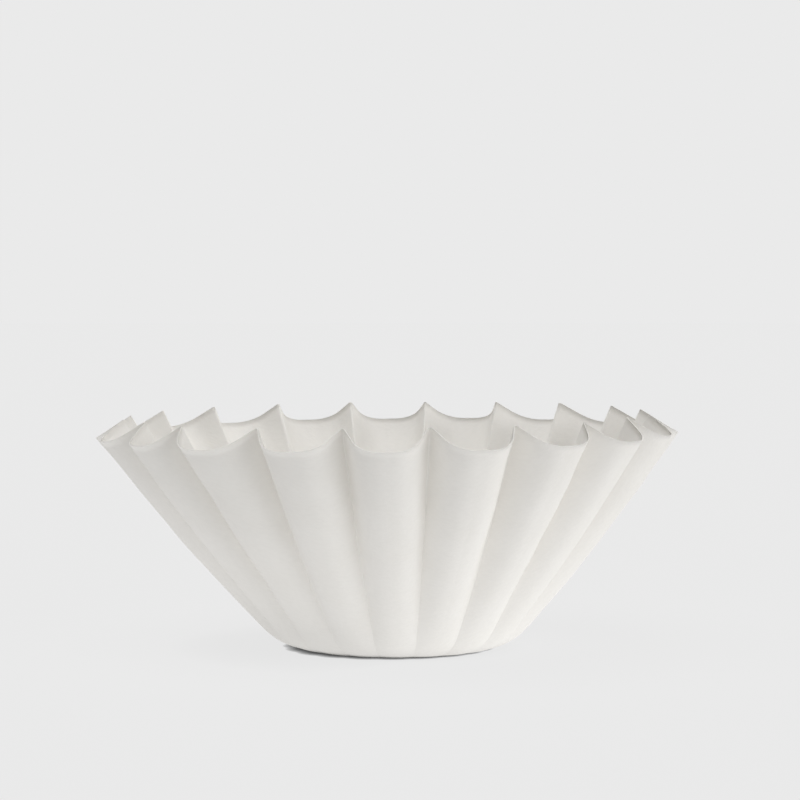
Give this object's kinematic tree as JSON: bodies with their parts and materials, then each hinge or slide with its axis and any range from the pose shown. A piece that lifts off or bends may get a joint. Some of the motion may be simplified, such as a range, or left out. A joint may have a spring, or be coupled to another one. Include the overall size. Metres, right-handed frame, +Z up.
{
  "type": "paper coffee filter",
  "caption": "Disposable flat-bottomed coffee filter: one thin white paper disc pressed into a flared, fluted bowl.",
  "frame": {"origin": "centre of the flat base's underside, on the surface that the filter stands on", "axes": "+Z up along the axis of the bowl; +X through the middle of one flute's face; +Y to the left of +X seen from above"},
  "size_m": [0.1386, 0.1386, 0.0557],
  "materials": {
    "paper": "matte"
  },
  "bodies": {
    "root": {"filter_paper": "paper"}
  },
  "joints": []
}
